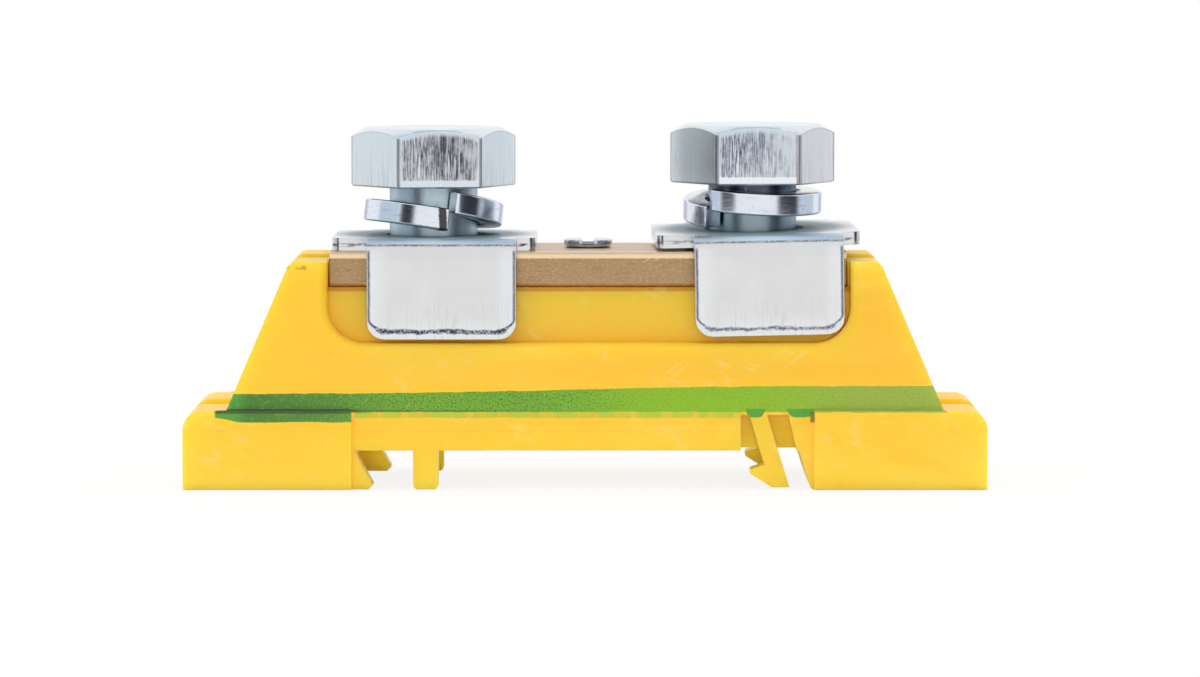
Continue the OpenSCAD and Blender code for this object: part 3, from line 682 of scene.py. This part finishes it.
def saddle_zinc(side):
    """Zinc on punched sheet: a dull pale face, painted paler towards the tab's edges, with a painted dark reflection
    line just inside them, and painted reflection and shade round the bolt and on the bend.
    """
    clamp = CLAMPS[side]
    turn_x, turn_y = (math.radians(a) for a in clamp["turn"][:2])
    turn = Matrix.Rotation(turn_y, 3, "Y") @ Matrix.Rotation(turn_x, 3, "X")
    rest = Vector(SADDLE_REST)
    centre = Vector((clamp["x"], 0, PLATE_TOP - SHEET_T + clamp["lift"])) + rest - turn @ rest
    f = Finish(side + "_saddle_zinc", centre, clamp["turn"])
    streak = f.noise(0.22 * MM, 3, 0.6, f.stretched((1, 1, 0.08)))
    cloud = f.noise(3.2 * MM, 4)
    speck = f.noise(0.2 * MM, 2)
    edge_line = f.noise(0.9 * MM, 1.5, 0.5)
    depth = f.calc("ABSOLUTE", f.y)
    on_tab = f.both(f.rise(depth, 8.9 * MM, 9.0 * MM), f.rise(f.z, 0.3 * MM, 0.0))
    to_side = f.calc("SUBTRACT", TAB_HALF, f.calc("ABSOLUTE", f.calc("SUBTRACT", f.x, TAB_MIDDLE)))
    to_foot = f.calc("ADD", f.z, TAB_LENGTH)
    side_q = f.calc("SUBTRACT", TAB_CORNER, to_side)
    foot_q = f.calc("SUBTRACT", TAB_CORNER, to_foot)
    side_out = f.calc("MAXIMUM", side_q, 0.0)
    foot_out = f.calc("MAXIMUM", foot_q, 0.0)
    corner = f.length(side_out, foot_out)
    inside = f.calc("MINIMUM", f.calc("MAXIMUM", side_q, foot_q), 0.0)
    to_edge = f.calc("SUBTRACT", f.calc("SUBTRACT", TAB_CORNER, corner), inside)
    # Painted reflection: a dark blue line just inside the tab's rolled edge, widest along its foot, for the dark
    # reflection in the rolled edge.
    low = f.rise(f.z, -6.0 * MM, -6.9 * MM)
    jag = f.calc("MULTIPLY", f.calc("SUBTRACT", edge_line, 0.5), f.between(low, 0.08 * MM, 0.5 * MM))
    reach = f.between(low, 0.20 * MM, clamp["edge_line"][0])
    width = f.between(low, 0.07 * MM, clamp["edge_line"][1])
    off = f.calc("ABSOLUTE", f.calc("SUBTRACT", f.calc("ADD", to_edge, jag), reach))
    line = f.both(on_tab, f.rise(f.calc("SUBTRACT", off, width), 0.14 * MM, -0.08 * MM))
    colour = f.mix(f.between(cloud, 0, 1), (0.66, 0.665, 0.675), (0.78, 0.78, 0.785))
    from_bolt = f.calc("SUBTRACT", f.x, BOLTS[side]["x"] - clamp["x"])
    ring = f.length(from_bolt, f.y)
    # Painted reflection and shade: a dark teal ring on the plate round the bolt, for the washer's reflection and
    # shadow; it also makes the plate less metallic and rougher there.
    washer_shade_and_reflection = f.both(f.rise(f.z, 0.55 * MM, 0.95 * MM), f.rise(ring, 10.2 * MM, 6.8 * MM))
    colour = f.tint(colour, washer_shade_and_reflection, 0.9, (0.17, 0.26, 0.30))
    # Painted reflection and shade on the bend: a pale blue band near the bolt and a darker teal further out.
    bend_top = f.both(f.rise(depth, 6.6 * MM, 7.6 * MM), f.rise(f.z, 0.62 * MM, 0.76 * MM))
    dull = f.both(bend_top, f.between(f.rise(to_side, 0.3 * MM, 3.5 * MM), 0.45, 0.9))
    near = f.both(f.rise(ring, 10.4 * MM, 8.0 * MM), f.rise(f.z, 0.95 * MM, 1.2 * MM))
    colour = f.mix(dull, colour, f.mix(near, (0.66, 0.80, 0.91), (0.30, 0.40, 0.46)))
    # Painted highlight: the tab is painted paler towards its edges.
    face_edge = f.both(on_tab, f.rise(to_edge, 2.2 * MM, 0.7 * MM))
    colour = f.tint(colour, face_edge, 0.6, (0.82, 0.835, 0.86))
    marks = f.both(on_tab, f.rise(streak, 0.54, 0.66), f.rise(f.z, -3.6 * MM, -5.4 * MM))
    colour = f.tint(colour, marks, 0.2, (0.40, 0.42, 0.45))
    mottle = f.rise(f.noise(0.16 * MM, 2, 0.6), 0.62, 0.42)
    # Painted reflection: a dark mottled line along the bend.
    bend_reflection_line_z = f.plus(f.z, jag, 0.5)
    bend_reflection_line = f.both(f.rise(depth, 8.0 * MM, 8.2 * MM), f.band(bend_reflection_line_z, 0.57 * MM, 0.71 * MM, 0.09 * MM))
    colour = f.tint(colour, bend_reflection_line, f.between(mottle, 0.25, 1.0), (0.10, 0.12, 0.17))
    # The colour of that painted reflection line, darker along the foot.
    edge_line_tone = f.mix(low, (0.09, 0.105, 0.155), clamp["edge_line_tone"])
    line_share = f.between(mottle, f.between(low, 0.8, EDGE_LINE_SHARE), 1.0)
    colour = f.tint(colour, line, line_share, edge_line_tone)
    dash = f.rise(f.noise(0.3 * MM, 2, 0.5, f.stretched((0.3, 1, 1))), 0.34, 0.6)
    shear = f.both(f.band(f.calc("ADD", f.z, jag), 0.42 * MM, 0.68 * MM, 0.12 * MM),
                   f.rise(depth, 6.9 * MM, 6.7 * MM), dash, f.rise(f.noise(1.3 * MM, 2), 0.36, 0.46))
    colour = f.tint(colour, shear, clamp["smudge"], (0.03, 0.03, 0.035))
    rough = f.plus(f.between(cloud, 0.11, 0.19), f.calc("ADD", streak, line), 0.08)
    bend = f.both(f.rise(depth, 7.3 * MM, 7.8 * MM), f.rise(f.z, -1.0 * MM, -0.4 * MM))
    rough = f.plus(rough, f.either(washer_shade_and_reflection, f.calc("MULTIPLY", bend, 0.5)), 0.3)
    bright = f.between(washer_shade_and_reflection, 1.0, 0.12)
    relief = f.bump(streak, 0.006 * MM)
    relief = f.bump(speck, 0.004 * MM, relief)
    relief = f.bump(f.calc("MULTIPLY", line, -1), 0.015 * MM, relief)
    return f.surface(colour, rough, relief, Metallic=bright)


def coil_zinc(side):
    """Bright zinc on drawn wire, with a dark shear mark where the turn is cut."""
    bolt = BOLTS[side]
    f = Finish(side + "_coil_zinc", (bolt["x"], 0, PLATE_TOP), (0, 0, bolt["split"]))
    drawn = f.noise(0.25 * MM, 3, 0.6, f.stretched((0.15, 0.15, 1)))
    cloud = f.noise(2.2 * MM, 4)
    speck = f.noise(0.3 * MM, 3, 0.7)
    colour = f.mix(f.between(cloud, 0, 1), (0.70, 0.75, 0.83), (0.80, 0.84, 0.89))
    colour = f.tint(colour, f.rise(drawn, 0.55, 0.7), 0.3, (0.36, 0.40, 0.48))
    pits = f.both(f.rise(speck, 0.62, 0.70), f.rise(cloud, 0.5, 0.62))
    colour = f.tint(colour, pits, 0.7, (0.12, 0.13, 0.17))
    ragged = f.shaken(f.y, speck, 0.3 * MM)
    cut = f.both(f.rise(f.x, 3.5 * MM, 4.0 * MM), f.band(ragged, -1.2 * MM, -0.5 * MM, 0.07 * MM))
    colour = f.tint(colour, cut, bolt["cut"], (0.035, 0.03, 0.035))
    marked = f.either(pits, cut)
    rough = f.plus(f.between(cloud, 0.10, 0.15), f.calc("ADD", drawn, marked), 0.06)
    relief = f.bump(drawn, 0.005 * MM)
    relief = f.bump(marked, -0.01 * MM, relief)
    return f.surface(colour, rough, relief, Metallic=1.0)


def screw_zinc():
    """Bright zinc on the small screw, rubbed by the driver, with painted shade in its slot."""
    f = Finish("screw_zinc")
    cloud = f.noise(1.2 * MM, 4)
    speck = f.noise(0.2 * MM, 3, 0.7)
    colour = f.mix(f.between(cloud, 0, 1), (0.60, 0.67, 0.72), (0.76, 0.80, 0.83))
    colour = f.tint(colour, f.rise(speck, 0.55, 0.68), 0.6, (0.20, 0.23, 0.27))
    # Painted shade: the slot is painted dark.
    slot = f.both(f.band(f.x, SCREW_X - SLOT_HALF, SCREW_X + SLOT_HALF, 0.03 * MM),
                  f.band(f.z, 21.5 * MM, 21.7 * MM, 0.05 * MM))
    colour = f.tint(colour, slot, 0.8, (0.10, 0.115, 0.13))
    rough = f.plus(f.between(cloud, 0.18, 0.30), slot, 0.3)
    relief = f.bump(speck, 0.01 * MM)
    return f.surface(colour, rough, relief, Metallic=1.0)


# Studio

def white_table():
    """A white disc that fades into the white round it, so that only the shadow shows."""
    f = Finish("white_table")
    bm = bmesh.new()
    bmesh.ops.create_circle(bm, cap_ends=True, segments=96, radius=0.6)
    mesh = bpy.data.meshes.new("table")
    bm.to_mesh(mesh)
    bm.free()
    table = bpy.data.objects.new("table", mesh)
    bpy.context.scene.collection.objects.link(table)
    mesh.materials.append(f.material)
    far = f.length(f.x, f.y)
    paper = f.add("ShaderNodeBsdfDiffuse", {"Color": (0.96, 0.96, 0.96, 1)})
    glow = f.add("ShaderNodeEmission", {"Color": (1, 1, 1, 1), "Strength": 1.0})
    clear = f.add("ShaderNodeBsdfTransparent")
    path = f.add("ShaderNodeLightPath")
    seen = f.either(*(path.outputs[kind] for kind in SEEING_RAYS))
    share = f.calc("MULTIPLY", seen, 0.86)
    white = f.add("ShaderNodeMixShader", {0: share, 1: paper.outputs[0], 2: glow.outputs[0]})
    fade = f.add("ShaderNodeMixShader", {0: f.rise(far, 0.07, 0.14), 1: white.outputs[0], 2: clear.outputs[0]})
    f.show(fade)


def white_room(light):
    """White for what the camera and the metal see; a softer level for the light itself."""
    world = bpy.data.worlds.new("white_room")
    bpy.context.scene.world = world
    world.use_nodes = True
    nodes, links = world.node_tree.nodes, world.node_tree.links
    nodes.clear()
    path = nodes.new("ShaderNodeLightPath")
    seen = path.outputs[SEEING_RAYS[0]]
    for kind in SEEING_RAYS[1:]:
        either = nodes.new("ShaderNodeMath")
        either.operation = "MAXIMUM"
        links.new(seen, either.inputs[0])
        links.new(path.outputs[kind], either.inputs[1])
        seen = either.outputs[0]
    soft = nodes.new("ShaderNodeBackground")
    soft.inputs["Strength"].default_value = light
    white = nodes.new("ShaderNodeBackground")
    for background in (soft, white):
        background.inputs["Color"].default_value = (1, 1, 1, 1)
    blend = nodes.new("ShaderNodeMixShader")
    links.new(seen, blend.inputs[0])
    links.new(soft.outputs[0], blend.inputs[1])
    links.new(white.outputs[0], blend.inputs[2])
    end = nodes.new("ShaderNodeOutputWorld")
    links.new(blend.outputs[0], end.inputs["Surface"])


def soft_box(name, place, target, size, power):
    """A soft lamp that lights the block and does not show in the metal."""
    lamp = bpy.data.lights.new(name, "AREA")
    lamp.shape = "RECTANGLE"
    lamp.size, lamp.size_y = size
    lamp.energy = power
    holder = bpy.data.objects.new(name, lamp)
    bpy.context.scene.collection.objects.link(holder)
    holder.location = place
    holder.rotation_euler = (Vector(target) - Vector(place)).to_track_quat("-Z", "Y").to_euler()
    holder.visible_camera = False
    holder.visible_glossy = False


def card(name, side, height, far, size, tone):
    """A card that only the metal sees, at an angle round the block from its front and at an angle up."""
    f = Finish(name)
    target = Vector(CARD_TARGET)
    side, height = math.radians(side), math.radians(height)
    place = target + far * Vector((math.sin(side) * math.cos(height), -math.cos(side) * math.cos(height),
                                   math.sin(height)))
    bm = bmesh.new()
    bmesh.ops.create_grid(bm, x_segments=1, y_segments=1, size=0.5)
    bmesh.ops.scale(bm, vec=(*size, 1), verts=bm.verts)
    facing = (target - place).to_track_quat("-Z", "Y").to_matrix()
    bmesh.ops.rotate(bm, cent=(0, 0, 0), matrix=facing, verts=bm.verts)
    bmesh.ops.translate(bm, vec=place, verts=bm.verts)
    mesh = bpy.data.meshes.new(name)
    bm.to_mesh(mesh)
    bm.free()
    sheet = bpy.data.objects.new(name, mesh)
    bpy.context.scene.collection.objects.link(sheet)
    mesh.materials.append(f.material)
    f.show(f.add("ShaderNodeEmission", {"Color": (*tone, 1)}))
    sheet.visible_camera = False
    sheet.visible_diffuse = False
    sheet.visible_shadow = False


def photo_camera():
    """A long lens in front, a little above the block."""
    lens = bpy.data.cameras.new("camera")
    lens.sensor_fit = "HORIZONTAL"
    lens.sensor_width = 36
    lens.lens = CAMERA_LENS
    lens.clip_start, lens.clip_end = 0.01, 20
    camera = bpy.data.objects.new("camera", lens)
    bpy.context.scene.collection.objects.link(camera)
    camera.location = CAMERA_PLACE
    camera.rotation_euler = (Vector(CAMERA_AIM) - camera.location).to_track_quat("-Z", "Y").to_euler()
    bpy.context.scene.camera = camera


carrier_moulding(yellow_polyamide())
brass_bar(dull_brass())
slotted_screw(screw_zinc())
for side in BOLTS:
    saddle_clamp(side, saddle_zinc(side))
    spring_coil(side, coil_zinc(side))
    hexagon_bolt(side, bolt_zinc(side))

white_table()
white_room(ROOM_LIGHT)
for lamp in LAMPS:
    soft_box(*lamp)
for sheet in CARDS:
    card(*sheet)
photo_camera()
bpy.context.scene.view_settings.view_transform = "Standard"
